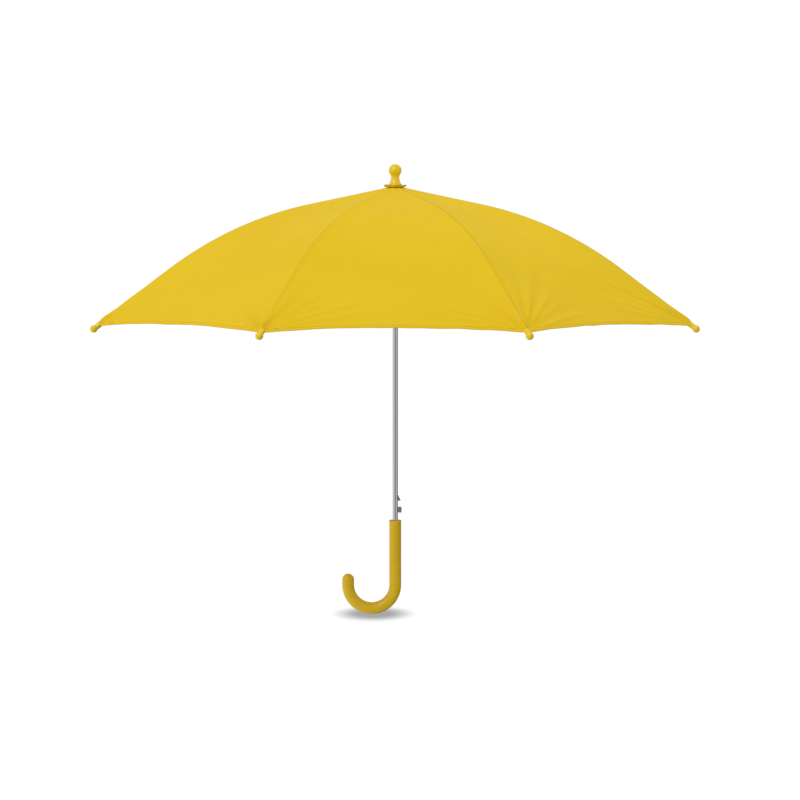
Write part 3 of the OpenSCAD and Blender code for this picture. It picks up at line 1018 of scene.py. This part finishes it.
def rosette_mesh():
    """A lathed dish whose rim is then waved, with its faces turned up."""
    bm = bmesh.new()
    lathe(bm, ROSETTE_PROFILE, 144)
    threads = bm.loops.layers.uv.new("threads")
    spots = {vert: vert.co.xy.copy() for vert in bm.verts}
    for vert in bm.verts:
        flat = vert.co.xy
        vert.co = ruffled(flat.length / MM, math.atan2(flat.y, flat.x), vert.co.z / MM)
    bmesh.ops.recalc_face_normals(bm, faces=bm.faces)
    if sum(face.normal.z for face in bm.faces) < 0:
        bmesh.ops.reverse_faces(bm, faces=bm.faces)
    return cloth_made(bm, "rosette", threads, spots)


def rim_thread_mesh():
    """Overlock thread wrapped over the rosette's edge."""
    bm = bmesh.new()
    rim, top = ROSETTE_PROFILE[-1]
    for k in range(RIM_WRAPS):
        angle = 2 * math.pi * k / RIM_WRAPS
        following = angle + 1.1 * math.pi / RIM_WRAPS
        for inset in (-0.3, 0.3):
            stitch(bm, ruffled(rim + inset, angle, top - 0.75),
                   ruffled(rim + inset, following, top + 0.1), RIM_THREAD)
        stitch(bm, ruffled(rim - RIM_COVER, following, top + 0.12),
               ruffled(rim + RIM_COVER, following, top + 0.12), RIM_THREAD)
    return finished(bm, "rosette_rim")


rosette = thicken(new_piece("rosette", rosette_mesh(), trim_cloth), 0.3, 0.0)
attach(rosette, "root")
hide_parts("top_rosette")
# The overlock thread's dark colour is partly its own and partly painted shade along the
# rosette's edge.
rim_thread = new_piece("rosette_rim", rim_thread_mesh(),
                       thread_finish("rim_thread", (0.44, 0.27, 0.010, 1)))
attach(rim_thread, "root")


# Tie strap: a folded band of the cloth, sewn on over one seam by its upper end and
# closed round the furled canopy with a snap stud.

STRAP_RIB = 5
STRAP_FROM = 265.0
STRAP_TO = RIB_LEN - 40.0
STRAP_HALF = 9.0
STRAP_LIFT = 0.45
STRAP_ROWS = 60
STRAP_COLS = 16
STRAP_STITCH_IN = 1.6


def strap_mesh():
    """A band with a round lower end, puffed between its edges' stitch lines."""
    bm = bmesh.new()
    bmesh.ops.create_grid(bm, x_segments=STRAP_ROWS, y_segments=STRAP_COLS, size=1.0)
    threads = bm.loops.layers.uv.new("threads")
    spots = {}
    for vert in bm.verts:
        along = (vert.co.x + 1) / 2
        across = vert.co.y
        s = STRAP_FROM + (STRAP_TO - STRAP_FROM) * along
        end = max(s - (STRAP_TO - STRAP_HALF), 0.0)
        half = math.sqrt(max(STRAP_HALF ** 2 - end ** 2, 0.4))
        y = across * half
        puff = 0.35 * (1 - abs(across) ** 6)
        puff -= 0.22 * math.exp(-((abs(y) - half + STRAP_STITCH_IN) / 0.5) ** 2)
        wave = 0.35 * math.sin(s / 11.0) * smooth(STRAP_FROM + 10, STRAP_FROM + 60, s)
        spots[vert] = (y * MM, s * MM)
        up = CLOTH_UP + STRAP_LIFT + puff + max(wave, -0.2) - seam_relief(y)
        vert.co = cloth_point(STRAP_RIB, 1 if y >= 0 else -1, abs(y), s, up)
    return cloth_made(bm, "strap", threads, spots)


strap = thicken(new_piece("strap", strap_mesh(), trim_cloth), 0.5, -0.4)
go_with_rib(strap, STRAP_RIB, GATHERED)
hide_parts("tie_strap")
dress(nodes["strap_stud"], wire)


# Studio: a white floor that fades into a white surround, soft light from all round and
# above, and a camera in front that looks slightly down. Places and sizes are in metres,
# and the camera's tilt is in degrees.

FLOOR_Z = cad_low.z - 0.0002
FLOOR_HALF = 30.0
SHADE_AT = (-0.0295, 0.004, 0)
SHADE_SIZE = (0.066, 0.078, 1.0)
WALLS = ((0.0, 0.60), (0.22, 0.66), (0.46, 0.48), (0.478, 0.06), (0.545, 0.08),
         (0.565, 0.55), (0.70, 0.50), (0.76, 0.05))
CEILING = (0.5, 0.5, 0.5, 1)
SOFT_LIGHT = (1.06, 1.06, 1.06, 1)
LAMP_AT = (-1.1, -1.6, 1.9)
LAMP_AIM = (0, 0, 0.2)
LAMP_SIZE = 0.8
LAMP_POWER = 45.0
CAMERA_AT = (0.0066, -3.0925, 0.42235)
CAMERA_DOWN = 3.922
CAMERA_LENS = 101.92
CAMERA_SENSOR = 36.0
CAMERA_SEES = 200.0


def floor_finish():
    """White floor with a painted soft shadow under the grip, where it stands."""
    material = bpy.data.materials.new("floor")
    material.use_nodes = True
    tree = material.node_tree
    tree.nodes.remove(tree.nodes["Principled BSDF"])
    # Painted shadow: a soft dark ellipse in the floor's glow under the grip's hook.
    spot = add(tree, "Mapping", {"vector_type": "TEXTURE"}, Vector=place(tree),
               Location=SHADE_AT, Scale=SHADE_SIZE)
    flat = add(tree, "VectorMath", {"operation": "LENGTH"}, Vector=spot.outputs[0])
    shade = span(tree, flat.outputs["Value"], 1.0, 0.30, 0.0, 1.0)
    colour = tint(tree, shade, (1.02, 1.02, 1.02, 1), (0.39, 0.39, 0.40, 1))
    glow = add(tree, "Emission", Color=colour, Strength=1.0)
    clear = add(tree, "BsdfTransparent")
    under = add(tree, "NewGeometry").outputs["Backfacing"]
    mix = add(tree, "MixShader")
    feed(tree, mix.inputs[0], under)
    feed(tree, mix.inputs[1], glow.outputs[0])
    feed(tree, mix.inputs[2], clear.outputs[0])
    feed(tree, tree.nodes["Material Output"].inputs["Surface"], mix.outputs[0])
    return material


def make_floor():
    """A wide plane just under the grip, which casts no light of its own on the object."""
    bm = bmesh.new()
    bmesh.ops.create_grid(bm, x_segments=1, y_segments=1, size=FLOOR_HALF)
    bmesh.ops.translate(bm, vec=(0, 0, FLOOR_Z), verts=bm.verts)
    floor = new_piece("floor", made_mesh(bm, "floor"), floor_finish())
    floor.visible_diffuse = False
    floor.visible_glossy = False


def bands(tree, value, stops):
    """A colour ramp of greys over 0..1."""
    made = add(tree, "ValToRGB", Fac=value)
    ramp = made.color_ramp
    while len(ramp.elements) < len(stops):
        ramp.elements.new(0.5)
    for element, (position, level) in zip(ramp.elements, stops):
        element.position = position
        element.color = (level, level, level, 1)
    return made.outputs["Color"]


def make_surround():
    """Soft light from all round; what gloss reflects is banded like a studio's walls."""
    world = bpy.data.worlds.new("studio")
    bpy.context.scene.world = world
    world.use_nodes = True
    tree = world.node_tree
    background = tree.nodes["Background"]
    ray = add(tree, "LightPath")
    direction = add(tree, "TexCoord").outputs["Generated"]
    axes = add(tree, "SeparateXYZ", Vector=direction)
    turn = calc(tree, "ARCTAN2", axes.outputs["X"],
                calc(tree, "MULTIPLY", axes.outputs["Y"], -1.0))
    turn = calc(tree, "MULTIPLY_ADD", turn, 0.5 / math.pi, 0.5)
    ceiling = span(tree, axes.outputs["Z"], 0.10, 0.45)
    mirrored = tint(tree, ceiling, bands(tree, turn, WALLS), CEILING)
    sideways = span(tree, axes.outputs["X"], -0.30, 0.6, 1.0, 0.0)
    low = span(tree, axes.outputs["Z"], 0.10, -0.05)
    dim = calc(tree, "SUBTRACT", 1.0, calc(
        tree, "MULTIPLY", low, calc(tree, "SUBTRACT", 1.0, sideways)))
    soft = tint(tree, 1.0, SOFT_LIGHT, dim, "MULTIPLY")
    lit = tint(tree, ray.outputs["Is Glossy Ray"], soft, mirrored)
    seen = tint(tree, ray.outputs["Is Camera Ray"], lit, (1.0, 1.0, 1.0, 1))
    feed(tree, background.inputs["Color"], seen)


def make_lamp():
    """A square soft lamp that only gloss shows."""
    light = bpy.data.lights.new("key", "AREA")
    light.size = LAMP_SIZE
    light.energy = LAMP_POWER
    lamp = bpy.data.objects.new("key", light)
    lamp.location = LAMP_AT
    towards = Vector(LAMP_AIM) - Vector(LAMP_AT)
    lamp.rotation_euler = towards.to_track_quat("-Z", "Y").to_euler()
    lamp.visible_diffuse = False
    lamp.visible_camera = False
    bpy.context.scene.collection.objects.link(lamp)


def make_camera():
    """A long lens, about three metres off."""
    data = bpy.data.cameras.new("camera")
    data.lens = CAMERA_LENS
    data.sensor_width = CAMERA_SENSOR
    data.clip_end = CAMERA_SEES
    camera = bpy.data.objects.new("camera", data)
    camera.location = CAMERA_AT
    camera.rotation_euler = (math.radians(90 - CAMERA_DOWN), 0, 0)
    bpy.context.scene.collection.objects.link(camera)
    bpy.context.scene.camera = camera


make_floor()
make_surround()
make_lamp()
make_camera()
bpy.context.scene.view_settings.view_transform = "Standard"
